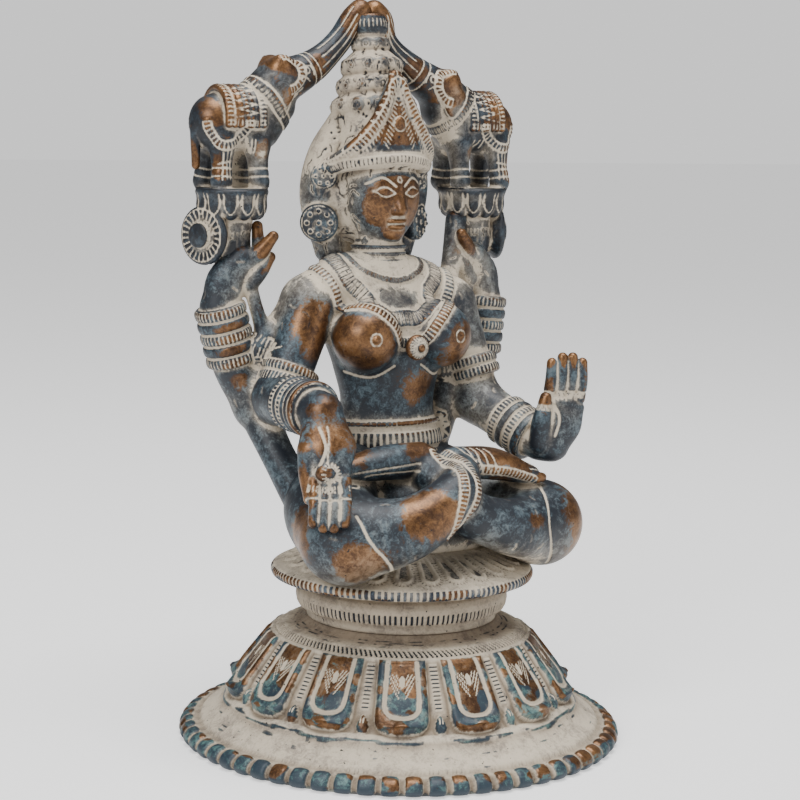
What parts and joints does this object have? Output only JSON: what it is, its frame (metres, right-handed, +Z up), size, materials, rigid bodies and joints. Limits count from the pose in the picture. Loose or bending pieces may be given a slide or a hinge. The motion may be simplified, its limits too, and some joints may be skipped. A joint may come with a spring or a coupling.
{
  "type": "lakshmi figure",
  "caption": "Cast-brass goddess seated on a lotus plinth, elephants meeting their trunks over her crown; stands on its flat underside as an ornament or shrine figure.",
  "frame": {"origin": "centre of the plinth's flat underside", "axes": "+Z up; the goddess looks along -Y and her right hand side is at -X"},
  "size_m": [0.1288, 0.1286, 0.2126],
  "materials": {
    "plinth_brass": "cast brass, chalky off-white wash on the smooth bands, teal-blue patina on petals and rim blocks, worn to bare brass on the high points",
    "figure_brass": "cast brass with engraved lines, navy-blue patina, off-white wash in the recesses, worn to bare brass on the high points"
  },
  "bodies": {
    "root": {"lotus_plinth": "plinth_brass", "figure": "figure_brass"}
  },
  "joints": []
}
